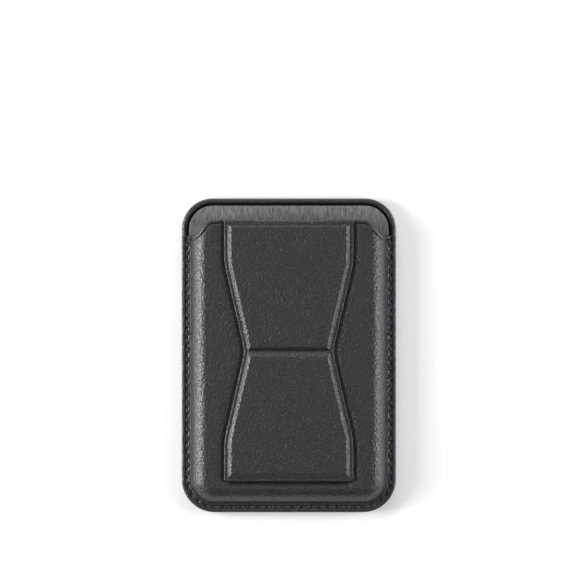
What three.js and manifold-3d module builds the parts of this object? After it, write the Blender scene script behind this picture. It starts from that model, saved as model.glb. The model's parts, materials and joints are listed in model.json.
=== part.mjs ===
// Magnetic card pocket for the back of a phone.
// An hourglass strip on its front folds out as a stand.
// Millimetres. X runs to the right, Y towards the pocket's mouth and Z out of the front face.
// The origin is the centre of the flat back, which holds on by its ring of magnets.
import * as THREE from 'three';
import { mergeVertices } from 'three/addons/utils/BufferGeometryUtils.js';
import Module from 'manifold-3d';

const wasm = await Module();
wasm.setup();

// Outline of the back panel, seen from the front
const width = 64.5;
const height = 94.5;
const topCornerRadius = 9.3;
const bottomCornerRadius = 10;

// Back panel, from the grip leather up to the lining of the pocket
const backLeather = 0.6;
const rimWidth = 1.9;
const rimRounding = 0.5;
const carrierFloor = 0.4;
const magnetThickness = 1.2;
const yokeThickness = 0.3;
const glueLine = 0.1;
const liningThickness = 0.5;
const rimStep = 0.2;

// Magnets: a ring of arc segments and one bar below it
const ringMeanRadius = 25;
const ringBand = 4;
const ringSegments = 16;
const ringFromTop = 3.25;
const barWidth = 6;
const barLength = 18.5;
const barFromRing = 5.6;

// Moulded front: a flat sewn border, a rounded shoulder and a flat face over the pocket
const borderWidth = 2.7;
const borderThickness = 0.8;
const borderRounding = 0.3;
const shoulderWidth = 4.8;
const pocketGap = 4.2;
const frontLiningThickness = 0.3;
const boardThickness = 0.7;
const coverThickness = 0.7;

// Mouth of the pocket: flat in the middle, dropping in an S to the border on each side
const mouthFromTop = 6.35;
const mouthFlatHalf = 22.4;
const mouthDrop = 4.9;
const mouthUpperRadius = 3.4;
const mouthLowerRadius = 2.6;
const mouthSlope = 50 * Math.PI / 180;
const turnedEdge = 1.35;

// Hourglass stand: two leather-covered boards hinged at the mouth and at the waist
const standEndHalf = 19.4;
const standWaistHalf = 13.2;
const upperStraight = 11.4;
const lowerStraight = 12.45;
const lowerExtra = 0.65;
const creaseFromMouth = 1.5;
const standMargin = 1.1;
const standEndMargin = 1.2;
const standFoldMargin = 0.6;
const bevelWidth = 1;
const padCorner = 0.5;
const standLining = 0.4;
const standEdgeLeather = 0.5;
const standBoard = 0.8;
const standPadLeather = 0.6;
const standCornerRadius = 0.9;
const upperCornerRadius = 0.3;
const waistRadius = 2;
const boardFromBevel = 0.8;

// Recess in the front face that the stand lies in, with a finger slot past its free end
const boardDish = 0.3;
const recessPress = 0.2;
const recessSideGap = 0.45;
const recessSlope = 1.5;
const slotLength = 1.05;
const slotSlope = 1.2;
const slotPastFace = 0.3;
const slotCornerRadius = 2.4;
const dishPastRecess = 0.55;

// Leather that wraps the mouth and carries the stand
const wrapThickness = 0.6;
const wrapInnerLength = 8;
const wrapRounding = 0.7;
const thumbReliefHalf = 10.5;
const thumbReliefDepth = 0.3;

// Magnets in the stand's free end and the steel plate that they close on
const closureCount = 3;
const closureHeight = 4;
const closureSpacing = 1.5;
const closureFromSide = 2.2;
const closureFromEnd = 6.5;
const keeperMargin = 1;

// Clearances
const fitGap = 0.3;
const seatGap = 0.3;
const magnetGap = 0.3;
const hingeGap = 0.45;
const wrapGap = 0.15;
const foldGap = 0.15;

// Facets
const cornerSteps = 9;
const shoulderSteps = 8;
const bevelSteps = 3;
const edgeSteps = 3;
const curveSteps = 6;
const ringStepsPerSegment = 3;
const channelSteps = 64;
const past = 2;
const sharpest = 0.2;

// Heights worked out from the layers
const carrierTop = backLeather + carrierFloor + magnetThickness + yokeThickness + glueLine;
const liningTop = carrierTop + liningThickness;
const rimTop = liningTop + rimStep;
const borderTop = rimTop + borderThickness;
const frontLiningBottom = liningTop + pocketGap;
const boardBottom = frontLiningBottom + frontLiningThickness;
const boardTop = boardBottom + boardThickness;
const faceTop = boardTop + coverThickness;
const dishFloor = boardTop - boardDish;
const recessFloor = faceTop - boardDish - recessPress;
const standBack = recessFloor + seatGap;
const standLiningTop = standBack + standLining;
const standEdgeTop = standLiningTop + standEdgeLeather;
const standBoardTop = standLiningTop + standBoard;
const standTop = standBoardTop + standPadLeather;

// Places along the wallet worked out from the top edge
const ringInnerRadius = ringMeanRadius - ringBand / 2;
const ringOuterRadius = ringMeanRadius + ringBand / 2;
const ringY = height / 2 - ringFromTop - ringOuterRadius;
const barY = ringY - ringOuterRadius - barFromRing - barLength / 2;
const mouthY = height / 2 - mouthFromTop;
const creaseY = mouthY - creaseFromMouth;
const endY = -height / 2 + borderWidth + shoulderWidth - slotPastFace + slotSlope + slotLength;
const upperLength = (creaseY - endY - lowerExtra) / 2;
const lowerLength = upperLength + lowerExtra;
const foldY = creaseY - upperLength;

// Closure magnets share the width of the lower board
const hollowInset = bevelWidth * boardFromBevel;
const boardInset = standMargin + hollowInset;
const closureRow = 2 * (standEndHalf - boardInset - fitGap - closureFromSide);
const closurePitch = (closureRow + closureSpacing) / closureCount;
const closureLength = closurePitch - closureSpacing;
const closureY = endY + closureFromEnd;

// Points on an arc, both ends included
function arc(cx, cy, radius, from, to, steps) {
  return Array.from({ length: steps + 1 }, (unused, i) => {
    const angle = from + (to - from) * i / steps;
    return [cx + radius * Math.cos(angle), cy + radius * Math.sin(angle)];
  });
}

// The wallet's outline moved inwards, as a counter-clockwise loop
function walletOutline(inset) {
  const x = width / 2 - inset;
  const y = height / 2 - inset;
  const top = Math.max(topCornerRadius - inset, sharpest);
  const bottom = Math.max(bottomCornerRadius - inset, sharpest);
  const quarter = Math.PI / 2;
  return [
    ...arc(x - bottom, -y + bottom, bottom, -quarter, 0, cornerSteps),
    ...arc(x - top, y - top, top, 0, quarter, cornerSteps),
    ...arc(-x + top, y - top, top, quarter, 2 * quarter, cornerSteps),
    ...arc(-x + bottom, -y + bottom, bottom, 2 * quarter, 3 * quarter, cornerSteps),
  ];
}

// A loop with each corner rounded by its own radius; a radius of 0 keeps the corner
function rounded(corners, steps) {
  return corners.flatMap(([x, y, radius], i) => {
    if (!radius) return [[x, y]];
    const here = new THREE.Vector2(x, y);
    const before = new THREE.Vector2(...corners.at(i - 1)).sub(here).normalize();
    const after = new THREE.Vector2(...corners[(i + 1) % corners.length]).sub(here).normalize();
    const half = Math.acos(THREE.MathUtils.clamp(before.dot(after), -1, 1)) / 2;
    const centre = before.clone().add(after).setLength(radius / Math.sin(half)).add(here);
    const start = before.multiplyScalar(radius / Math.tan(half)).add(here).sub(centre);
    const end = after.multiplyScalar(radius / Math.tan(half)).add(here).sub(centre);
    const turn = Math.atan2(start.cross(end), start.dot(end));
    return arc(centre.x, centre.y, radius, start.angle(), start.angle() + turn, steps);
  });
}

// The part of the wallet below its mouth, with the mouth line moved down by drop
function belowMouth(drop) {
  const straight = (mouthDrop - (mouthUpperRadius + mouthLowerRadius) * (1 - Math.cos(mouthSlope)))
    / Math.sin(mouthSlope);
  const run = (mouthUpperRadius + mouthLowerRadius) * Math.sin(mouthSlope) + straight * Math.cos(mouthSlope);
  const quarter = Math.PI / 2;
  const upper = arc(mouthFlatHalf, mouthY - mouthUpperRadius, mouthUpperRadius - drop,
    quarter - mouthSlope, quarter, curveSteps);
  const lower = arc(mouthFlatHalf + run, mouthY - mouthDrop + mouthLowerRadius, mouthLowerRadius + drop,
    -quarter, -quarter - mouthSlope, curveSteps);
  const right = [...lower, ...upper];
  const left = right.map(([x, y]) => [-x, y]).reverse();
  const side = width / 2 + past;
  const low = mouthY - mouthDrop - drop;
  return [[-side, -height], [side, -height], [side, low], ...right, ...left, [-side, low]];
}

// Half width of the stand's corners when its sides move out by an amount
const slant = Math.atan((standEndHalf - standWaistHalf) / (upperLength - upperStraight));
const lowerSlant = Math.atan((standEndHalf - standWaistHalf) / (lowerLength - lowerStraight));
const upperBendY = out => creaseY - upperStraight - out * Math.tan(slant / 2);
const lowerBendY = out => endY + lowerStraight + out * Math.tan(lowerSlant / 2);
const halfAt = (fromFold, angle, out) => standWaistHalf + fromFold * Math.tan(angle) + out / Math.cos(angle);
const upperHalfAt = (y, out) => halfAt(y - foldY, slant, out);
const lowerHalfAt = (y, out) => halfAt(foldY - y, lowerSlant, out);

// Whole hourglass, its sides moved out, from a top line down to a bottom line
function hourglass(out, top, bottom, cornerRadius) {
  const right = [
    [standEndHalf + out, bottom, cornerRadius],
    [standEndHalf + out, lowerBendY(out), waistRadius],
    [upperHalfAt(foldY, out), foldY, waistRadius],
    [standEndHalf + out, upperBendY(out), waistRadius],
    [standEndHalf + out, top, 0],
  ];
  const left = right.map(([x, y, radius]) => [-x, y, radius]).reverse();
  return rounded([...right, ...left], curveSteps);
}

// Upper half of the stand, its edges moved in: sides, hinge end and fold end
function upperOutline(side, atHinge, atFold, cornerRadius) {
  const top = creaseY - atHinge;
  const low = foldY + atFold;
  const right = [
    [upperHalfAt(low, -side), low, 0],
    [standEndHalf - side, upperBendY(-side), waistRadius],
    [standEndHalf - side, top, cornerRadius],
  ];
  const left = right.map(([x, y, radius]) => [-x, y, radius]).reverse();
  return rounded([...right, ...left], curveSteps);
}

// Lower half of the stand, its edges moved in: sides, fold end and free end
function lowerOutline(side, atFold, atEnd, cornerRadius) {
  const top = foldY - atFold;
  const low = endY + atEnd;
  const right = [
    [standEndHalf - side, low, cornerRadius],
    [standEndHalf - side, lowerBendY(-side), waistRadius],
    [lowerHalfAt(top, -side), top, 0],
  ];
  const left = right.map(([x, y, radius]) => [-x, y, radius]).reverse();
  return rounded([...right, ...left], curveSteps);
}

const rectangle = (x0, y0, x1, y1) => [[x0, y0], [x1, y0], [x1, y1], [x0, y1]];

// A closed solid from a geometry whose faces point out
function solid(geometry) {
  const bare = new THREE.BufferGeometry();
  bare.setAttribute('position', geometry.getAttribute('position'));
  bare.setIndex(geometry.getIndex());
  const merged = mergeVertices(bare, 1e-5);
  return new wasm.Manifold(new wasm.Mesh({
    numProp: 3,
    vertProperties: Float32Array.from(merged.getAttribute('position').array),
    triVerts: Uint32Array.from(merged.getIndex().array),
  }));
}

// A flat plate: a loop extruded from one height to another
function plate(loop, bottom, top) {
  const shape = new THREE.Shape(loop.map(([x, y]) => new THREE.Vector2(x, y)));
  const geometry = new THREE.ExtrudeGeometry(shape, { depth: top - bottom, bevelEnabled: false });
  return solid(geometry.translate(0, 0, bottom));
}

// A solid through loops of the same number of points at rising heights, closed flat at both ends
function loft(levels) {
  const count = levels[0].loop.length;
  const positions = levels.flatMap(({ loop, z }) => loop.flatMap(([x, y]) => [x, y, z]));
  const index = [];
  for (let level = 0; level < levels.length - 1; level += 1) {
    for (let i = 0; i < count; i += 1) {
      const a = level * count + i;
      const b = level * count + (i + 1) % count;
      index.push(a, b, b + count, a, b + count, a + count);
    }
  }
  const caps = [levels[0], levels.at(-1)].map(({ loop }) => loop.map(([x, y]) => new THREE.Vector2(x, y)));
  const topStart = (levels.length - 1) * count;
  for (const [a, b, c] of THREE.ShapeUtils.triangulateShape(caps[0], [])) index.push(a, c, b);
  for (const [a, b, c] of THREE.ShapeUtils.triangulateShape(caps[1], [])) {
    index.push(topStart + a, topStart + b, topStart + c);
  }
  const geometry = new THREE.BufferGeometry();
  geometry.setAttribute('position', new THREE.Float32BufferAttribute(positions, 3));
  geometry.setIndex(index);
  return solid(geometry);
}

// A washer about the centre of the magnet ring
function ringPlate(inner, outer, bottom, top) {
  const disc = radius => plate(arc(0, ringY, radius, 0, 2 * Math.PI, channelSteps).slice(1), bottom, top);
  return disc(outer).subtract(disc(inner));
}

// Levels of the wallet's outline over an upper edge rounded in a quarter circle
function roundedEdge(rounding, top) {
  return Array.from({ length: edgeSteps + 1 }, (unused, i) => {
    const angle = Math.PI / 2 * i / edgeSteps;
    const inset = rounding * (1 - Math.cos(angle));
    return { loop: walletOutline(inset), z: top - rounding * (1 - Math.sin(angle)) };
  });
}

// Grip leather of the back, turned up round its edge as the rim that shows above the mouth
function backSkin() {
  const chamfer = rimRounding / 2;
  return loft([
    { loop: walletOutline(chamfer), z: 0 },
    { loop: walletOutline(0), z: chamfer },
    ...roundedEdge(rimRounding, rimTop),
  ]).subtract(plate(walletOutline(rimWidth), backLeather, rimTop + past));
}

// Stiff sheet inside the back panel, with a ring channel and a slot for the magnets
function magnetCarrier() {
  const floor = backLeather + carrierFloor;
  const channel = ringPlate(ringInnerRadius - magnetGap, ringOuterRadius + magnetGap,
    floor, carrierTop + past);
  const slot = plate(rectangle(-barWidth / 2 - magnetGap, barY - barLength / 2 - magnetGap,
    barWidth / 2 + magnetGap, barY + barLength / 2 + magnetGap), floor, carrierTop + past);
  return plate(walletOutline(rimWidth + fitGap), backLeather, carrierTop).subtract(channel).subtract(slot);
}

// One arc segment of the magnet ring
function ringMagnet(number) {
  const pitch = 2 * Math.PI / ringSegments;
  const start = Math.PI / 2 + number * pitch;
  const trimmed = radius => magnetGap / 2 / radius;
  const outer = arc(0, ringY, ringOuterRadius, start + trimmed(ringOuterRadius),
    start + pitch - trimmed(ringOuterRadius), ringStepsPerSegment);
  const inner = arc(0, ringY, ringInnerRadius, start + pitch - trimmed(ringInnerRadius),
    start + trimmed(ringInnerRadius), ringStepsPerSegment);
  const floor = backLeather + carrierFloor;
  return plate([...outer, ...inner], floor, floor + magnetThickness);
}

// Bar magnet below the ring that keeps the wallet upright
function alignMagnet() {
  const floor = backLeather + carrierFloor;
  return plate(rectangle(-barWidth / 2, barY - barLength / 2, barWidth / 2, barY + barLength / 2),
    floor, floor + magnetThickness);
}

// Thin steel washer that closes the field behind the ring
function magnetYoke() {
  const bottom = backLeather + carrierFloor + magnetThickness;
  return ringPlate(ringInnerRadius, ringOuterRadius, bottom, bottom + yokeThickness);
}

// Napped lining of the pocket's back wall, inside the rim
function pocketLining() {
  return plate(walletOutline(rimWidth + fitGap), carrierTop, liningTop);
}

// Outside or inside of the moulded front: up from the foot and over the shoulder in a quarter ellipse
function shoulder(footInset, run, footZ, topZ) {
  const levels = [];
  for (let i = 0; i <= shoulderSteps; i += 1) {
    const angle = Math.PI / 2 * i / shoulderSteps;
    const inset = footInset + run * (1 - Math.cos(angle));
    levels.push({ loop: walletOutline(inset), z: footZ + (topZ - footZ) * Math.sin(angle) });
  }
  return levels;
}

// Outline of the dish under the recess, grown by an amount
function dishLoop(out) {
  return hourglass(recessSideGap + dishPastRecess + out, mouthY + past, endY - slotLength - out, slotCornerRadius);
}

// Moulded front leather: sewn border, shoulder, face with the stand's recess, and turned edge of the mouth
function frontCover() {
  const border = loft([{ loop: walletOutline(0), z: rimTop }, ...roundedEdge(borderRounding, borderTop)]);
  const pad = loft([
    { loop: walletOutline(borderWidth), z: rimTop },
    ...shoulder(borderWidth, shoulderWidth, borderTop, faceTop),
  ]);
  const innerFoot = borderWidth + coverThickness;
  const turned = plate(belowMouth(0), frontLiningBottom, boardTop + past)
    .subtract(plate(belowMouth(turnedEdge), frontLiningBottom - past, boardTop + 2 * past));
  const dish = plate(dishLoop(0), dishFloor, boardTop + past);
  const hollow = loft([
    { loop: walletOutline(innerFoot), z: rimTop - past },
    ...shoulder(innerFoot, shoulderWidth - fitGap, borderTop, boardTop),
  ]).subtract(turned).subtract(dish);
  const recessRim = hourglass(recessSideGap + recessSlope, mouthY + past, endY - slotLength - slotSlope,
    slotCornerRadius + slotSlope);
  const recess = loft([
    { loop: hourglass(recessSideGap, mouthY + past, endY - slotLength, slotCornerRadius), z: recessFloor },
    { loop: recessRim, z: faceTop },
    { loop: recessRim, z: faceTop + past },
  ]);
  const wrapHalf = standEndHalf + fitGap;
  const wrapEdge = plate(rectangle(-wrapHalf, mouthY - wrapThickness - fitGap, wrapHalf, mouthY + past),
    rimTop, faceTop + past);
  const wrapLeg = plate(rectangle(-wrapHalf, mouthY - wrapInnerLength - fitGap, wrapHalf, mouthY + past),
    frontLiningBottom - past, boardBottom);
  return border.add(pad).subtract(hollow).intersect(plate(belowMouth(0), 0, faceTop + past))
    .subtract(recess).subtract(wrapEdge).subtract(wrapLeg);
}

// Fibreboard behind the flat face, pressed with the stand's dish and cut out for the keeper plate
function frontBoard() {
  const dish = plate(dishLoop(fitGap), dishFloor, boardTop + past);
  const window = plate(keeperLoop(fitGap), boardBottom - past, boardTop + past);
  const wrapHalf = standEndHalf + fitGap;
  const wrapLow = mouthY - wrapThickness - turnedEdge - fitGap;
  const wrapEdge = plate(rectangle(-wrapHalf, wrapLow, wrapHalf, mouthY + past),
    boardBottom - past, boardTop + past);
  return plate(walletOutline(borderWidth + coverThickness + shoulderWidth), boardBottom, boardTop)
    .intersect(plate(belowMouth(turnedEdge + fitGap), 0, faceTop))
    .subtract(dish).subtract(window).subtract(wrapEdge);
}

// Lining of the pocket's front wall, cut out round the leather that wraps the mouth
function frontLining() {
  const rise = Math.asin(Math.min((boardBottom - borderTop) / (boardTop - borderTop), 1));
  const inset = borderWidth + coverThickness + (shoulderWidth - fitGap) * (1 - Math.cos(rise)) + fitGap;
  const wrapHalf = standEndHalf + fitGap;
  const leg = plate(rectangle(-wrapHalf, mouthY - wrapInnerLength - fitGap, wrapHalf, mouthY + past),
    frontLiningBottom - past, boardBottom + past);
  return plate(walletOutline(inset), frontLiningBottom, boardBottom)
    .intersect(plate(belowMouth(turnedEdge + fitGap), 0, faceTop)).subtract(leg);
}

// Outline of the keeper plate, grown by an amount
function keeperLoop(out) {
  const half = closurePitch * (closureCount - 1) / 2 + closureLength / 2 + keeperMargin + out;
  const tall = closureHeight / 2 + keeperMargin + out;
  return rectangle(-half, closureY - tall, half, closureY + tall);
}

// Steel plate in the front board that the stand's free end closes on
function keeperPlate() {
  return plate(keeperLoop(0), boardBottom, dishFloor);
}

// Leather that goes round the mouth's edge and down its inside, and carries the stand at the crease
function standWrap() {
  const start = creaseY + wrapGap;
  const inner = mouthY - wrapThickness;
  const roll = Math.min(wrapRounding, standEdgeTop - standBack);
  const section = rounded([
    [start, standBack, 0],
    [inner, standBack, 0],
    [inner, boardBottom, 0],
    [mouthY - wrapInnerLength, boardBottom, 0],
    [mouthY - wrapInnerLength, frontLiningBottom, 0],
    [mouthY, frontLiningBottom, wrapThickness / 2],
    [mouthY, standEdgeTop, roll],
    [start, standEdgeTop, 0],
  ].reverse(), edgeSteps);
  const shape = new THREE.Shape(section.map(([y, z]) => new THREE.Vector2(y, z)));
  const strip = new THREE.ExtrudeGeometry(shape, { depth: 2 * standEndHalf, bevelEnabled: false });
  const along = new THREE.Matrix4().makeBasis(new THREE.Vector3(0, 1, 0), new THREE.Vector3(0, 0, 1),
    new THREE.Vector3(1, 0, 0)).setPosition(-standEndHalf, 0, 0);
  const relief = plate(rounded([
    [-thumbReliefHalf, mouthY - thumbReliefDepth, 0],
    [thumbReliefHalf, mouthY - thumbReliefDepth, 0],
    [thumbReliefHalf + past, mouthY + past, 0],
    [-thumbReliefHalf - past, mouthY + past, 0],
  ], 1), 0, standTop);
  return solid(strip.applyMatrix4(along)).subtract(relief);
}

// Face leather of one half of the stand: flat margin, rounded bevel and raised pad, hollow under the pad
function standSkin(outline, hinge, pad, hollow) {
  const levels = [];
  for (let i = 0; i <= bevelSteps; i += 1) {
    const angle = Math.PI / 2 * i / bevelSteps;
    const inset = bevelWidth * (1 - Math.cos(angle));
    levels.push({ loop: pad(inset), z: standEdgeTop + (standTop - standEdgeTop) * Math.sin(angle) });
  }
  levels[0].z = standLiningTop;
  levels.splice(1, 0, { loop: pad(0), z: standEdgeTop });
  return plate(outline(hinge), standLiningTop, standEdgeTop).add(loft(levels))
    .subtract(plate(hollow, standLiningTop - past, standBoardTop));
}

function upperSkin() {
  return standSkin(
    hinge => upperOutline(0, hinge, foldGap, upperCornerRadius),
    hingeGap,
    inset => upperOutline(standMargin + inset, hingeGap + inset, standFoldMargin + inset, padCorner),
    upperOutline(boardInset, hingeGap + hollowInset, standFoldMargin + hollowInset, padCorner));
}

function lowerSkin() {
  return standSkin(
    fold => lowerOutline(0, fold, 0, standCornerRadius),
    foldGap,
    inset => lowerOutline(standMargin + inset, standFoldMargin + inset, standEndMargin + inset, padCorner),
    lowerOutline(boardInset, standFoldMargin + hollowInset, standEndMargin + hollowInset, padCorner));
}

// Stiff boards under the pads; the lower one is cut out for the closure magnets
function upperBoard() {
  return plate(upperOutline(boardInset + fitGap, hingeGap + hollowInset + fitGap,
    standFoldMargin + hollowInset + fitGap, padCorner), standLiningTop, standBoardTop);
}

function closureLoop(number, out) {
  const x = (number - (closureCount - 1) / 2) * closurePitch;
  return rectangle(x - closureLength / 2 - out, closureY - closureHeight / 2 - out,
    x + closureLength / 2 + out, closureY + closureHeight / 2 + out);
}

function lowerBoard() {
  let board = plate(lowerOutline(boardInset + fitGap, standFoldMargin + hollowInset + fitGap,
    standEndMargin + hollowInset + fitGap, padCorner), standLiningTop, standBoardTop);
  for (let number = 0; number < closureCount; number += 1) {
    const window = plate(closureLoop(number, magnetGap), standLiningTop - past, standBoardTop + past);
    board = board.subtract(window);
  }
  return board;
}

const closureMagnet = number => plate(closureLoop(number, 0), standLiningTop, standBoardTop);

// Back leathers of the stand
function upperLining() {
  return plate(upperOutline(0, hingeGap, foldGap, upperCornerRadius), standBack, standLiningTop);
}

function lowerLining() {
  return plate(lowerOutline(0, foldGap, 0, standCornerRadius), standBack, standLiningTop);
}

// Finishes
const leather = new THREE.MeshStandardMaterial({ color: '#3c3c3d', roughness: 0.5, metalness: 0 });
const napped = new THREE.MeshStandardMaterial({ color: '#57575a', roughness: 0.85, metalness: 0 });
const fibreboard = new THREE.MeshStandardMaterial({ color: '#7b7468', roughness: 0.9, metalness: 0 });
const plastic = new THREE.MeshStandardMaterial({ color: '#2b2c2e', roughness: 0.6, metalness: 0 });
const nickel = new THREE.MeshStandardMaterial({ color: '#b9b8b3', roughness: 0.3, metalness: 1 });
const steel = new THREE.MeshStandardMaterial({ color: '#8f9296', roughness: 0.4, metalness: 1 });

// A named mesh from a solid
function piece(name, body, material) {
  const { vertProperties, triVerts, numProp } = body.getMesh();
  const geometry = new THREE.BufferGeometry();
  const positions = Float32Array.from(
    { length: vertProperties.length / numProp * 3 },
    (unused, i) => vertProperties[Math.floor(i / 3) * numProp + i % 3]);
  geometry.setAttribute('position', new THREE.BufferAttribute(positions, 3));
  geometry.setIndex(new THREE.BufferAttribute(Uint32Array.from(triVerts), 1));
  geometry.computeVertexNormals();
  const mesh = new THREE.Mesh(geometry, material);
  mesh.name = name;
  return mesh;
}

const wallet = new THREE.Group();
wallet.add(
  piece('back_skin', backSkin(), leather),
  piece('magnet_carrier', magnetCarrier(), plastic),
  piece('align_magnet', alignMagnet(), nickel),
  piece('magnet_yoke', magnetYoke(), steel),
  piece('pocket_lining', pocketLining(), napped),
  piece('front_cover', frontCover(), leather),
  piece('front_board', frontBoard(), fibreboard),
  piece('front_lining', frontLining(), napped),
  piece('keeper_plate', keeperPlate(), steel),
  piece('stand_wrap', standWrap(), leather),
);
for (let number = 0; number < ringSegments; number += 1) {
  wallet.add(piece(`ring_magnet_${String(number + 1).padStart(2, '0')}`, ringMagnet(number), nickel));
}

const standUpper = new THREE.Group();
standUpper.add(
  piece('stand_upper_skin', upperSkin(), leather),
  piece('stand_upper_board', upperBoard(), fibreboard),
  piece('stand_upper_lining', upperLining(), leather),
);

const standLower = new THREE.Group();
standLower.add(
  piece('stand_lower_skin', lowerSkin(), leather),
  piece('stand_lower_board', lowerBoard(), fibreboard),
  piece('stand_lower_lining', lowerLining(), leather),
);
for (let number = 0; number < closureCount; number += 1) {
  standLower.add(piece(`closure_magnet_${number + 1}`, closureMagnet(number), nickel));
}

const cardHolder = new THREE.Group();
cardHolder.add(wallet, standUpper, standLower);

export default cardHolder;
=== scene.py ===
import json
import math

import bpy
import numpy as np
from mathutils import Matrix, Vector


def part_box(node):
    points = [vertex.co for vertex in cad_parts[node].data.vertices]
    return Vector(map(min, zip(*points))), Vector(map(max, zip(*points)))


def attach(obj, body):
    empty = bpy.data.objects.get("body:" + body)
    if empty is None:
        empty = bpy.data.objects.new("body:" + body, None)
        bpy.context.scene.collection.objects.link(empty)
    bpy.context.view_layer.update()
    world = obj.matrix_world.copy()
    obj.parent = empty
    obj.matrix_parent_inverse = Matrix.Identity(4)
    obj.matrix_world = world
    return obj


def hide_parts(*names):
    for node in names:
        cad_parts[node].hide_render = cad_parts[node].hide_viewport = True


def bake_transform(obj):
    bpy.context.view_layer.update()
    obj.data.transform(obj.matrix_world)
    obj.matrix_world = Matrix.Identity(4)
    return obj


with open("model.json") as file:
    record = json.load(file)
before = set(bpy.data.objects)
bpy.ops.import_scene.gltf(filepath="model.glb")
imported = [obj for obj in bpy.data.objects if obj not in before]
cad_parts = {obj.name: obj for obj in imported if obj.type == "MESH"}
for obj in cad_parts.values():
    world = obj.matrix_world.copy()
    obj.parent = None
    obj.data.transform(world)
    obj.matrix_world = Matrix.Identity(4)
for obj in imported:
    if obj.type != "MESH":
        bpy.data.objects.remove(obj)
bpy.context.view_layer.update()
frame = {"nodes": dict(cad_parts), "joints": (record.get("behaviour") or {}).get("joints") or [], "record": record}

mm = 0.001

# Back panel: grip leather, cut from a coated hide and turned up round the edge of the magnet sheet.
# The turned rim is glued down and pressed, so it stands a little above the lining and ends in a crease.
# The seam that holds the front on comes through, and its lower thread pulls a deeper channel into the back.
half_width, half_height, rim_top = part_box("back_skin")[1]
top_corner, bottom_corner = 9.3 * mm, 10 * mm
rim_width, back_thickness, inner_fillet = 1.9 * mm, 0.6 * mm, 0.1 * mm
border_width = 2.7 * mm
mouth_drop = 4.9 * mm
mouth_low_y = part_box("front_cover")[1][1] - mouth_drop
seam_inset, stitch_pitch, seam_below_mouth = 1.65 * mm, 2.65 * mm, 1.3 * mm
channel_depth, channel_half_width, channel_below_mouth = 0.12 * mm, 0.42 * mm, 0.4 * mm
hole_depth, hole_half_length, hole_half_width, hole_slant = 0.5 * mm, 0.7 * mm, 0.3 * mm, 0.18
dip_from, dip_to, deepest_dip = 0.6 * mm, 2.6 * mm, 0.55 * mm
back_pull, back_deepest = 2.2, 0.5 * mm


def linear(hexcode):
    """An sRGB hex colour as the linear colour that a shader takes."""
    parts = [int(hexcode[i : i + 2], 16) / 255 for i in (1, 3, 5)]
    return [c / 12.92 if c <= 0.04045 else ((c + 0.055) / 1.055) ** 2.4 for c in parts] + [1.0]


def feed(material, node, inputs):
    """Gives each named input of a node its value, or links it to another node's output."""
    for name, value in inputs.items():
        if isinstance(value, bpy.types.NodeSocket):
            material.node_tree.links.new(value, node.inputs[name])
        else:
            node.inputs[name].default_value = value


def add_node(material, kind, inputs, stops=(), **settings):
    """A node with its settings and inputs; a colour ramp also has stops, each a place and a hex colour."""
    node = material.node_tree.nodes.new(kind)
    for name, value in settings.items():
        setattr(node, name, value)
    feed(material, node, inputs)
    for number, (place, hexcode) in enumerate(stops):
        node.color_ramp.elements[number].position = place
        node.color_ramp.elements[number].color = linear(hexcode)
    return node


def new_material(name):
    """An empty material with its surface shader."""
    material = bpy.data.materials.new(name)
    material.use_nodes = True
    return material, material.node_tree.nodes["Principled BSDF"]


def coated_leather(name, dark, light, grain_depth, roughness):
    """Black leather with a sprayed and embossed polyurethane coat.
    The rollers leave fine pebbles, about 0.6 mm across; the coat's satin sheen breaks up on them."""
    pebble, pore, cloud = 0.57 * mm, 0.16 * mm, 9 * mm
    wander, pore_share, cloud_share = 0.7, 0.35, 0.5
    material, shader = new_material(name)
    place = add_node(material, "ShaderNodeTexCoord", {}).outputs["Object"]
    drift = add_node(material, "ShaderNodeTexNoise",
                     {"Vector": place, "Scale": wander / pebble, "Detail": 2.0})
    bent = add_node(material, "ShaderNodeVectorMath", {0: drift.outputs["Color"], "Scale": wander * pebble},
                    operation="SCALE")
    moved = add_node(material, "ShaderNodeVectorMath", {0: place, 1: bent.outputs["Vector"]}, operation="ADD")
    pebbles = add_node(material, "ShaderNodeTexVoronoi",
                       {"Vector": moved.outputs["Vector"], "Scale": 1 / pebble, "Smoothness": 0.6},
                       feature="SMOOTH_F1")
    pores = add_node(material, "ShaderNodeTexNoise", {"Vector": place, "Scale": 1 / pore, "Detail": 3.0})
    clouds = add_node(material, "ShaderNodeTexNoise", {"Vector": place, "Scale": 1 / cloud, "Detail": 4.0})
    height = add_node(material, "ShaderNodeMath",
                      {0: pores.outputs["Fac"], 1: pore_share, 2: pebbles.outputs["Distance"]},
                      operation="MULTIPLY_ADD")
    bump = add_node(material, "ShaderNodeBump",
                    {"Height": height.outputs["Value"], "Distance": grain_depth, "Strength": 1.0},
                    invert=True)
    mix = add_node(material, "ShaderNodeMath",
                   {0: clouds.outputs["Fac"], 1: cloud_share, 2: height.outputs["Value"]},
                   operation="MULTIPLY_ADD")
    tone = add_node(material, "ShaderNodeValToRGB", {"Fac": mix.outputs["Value"]},
                    [(0.35, light), (0.95, dark)])
    dull = add_node(material, "ShaderNodeMapRange", {
        "Value": mix.outputs["Value"],
        "From Min": 0.3,
        "From Max": 1.0,
        "To Min": roughness - 0.05,
        "To Max": roughness + 0.1,
    })
    feed(material, shader, {
        "Base Color": tone.outputs["Color"],
        "Roughness": dull.outputs["Result"],
        "Normal": bump.outputs["Normal"],
        "Coat Normal": bump.outputs["Normal"],
        "IOR": 1.5,
        "Coat Weight": 0.85,
        "Coat Roughness": 0.33,
        "Coat IOR": 1.5,
    })
    return material


face_leather = coated_leather("embossed_face_leather", "#111112", "#1e1e1f", 0.16 * mm, 0.4)


def corner_arc(cx, cy, radius, start, steps=28):
    """Points on a quarter turn from a start angle in quarter turns."""
    angles = (start + np.arange(steps + 1) / steps) * math.pi / 2
    return [(cx + radius * math.cos(a), cy + radius * math.sin(a)) for a in angles]


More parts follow.
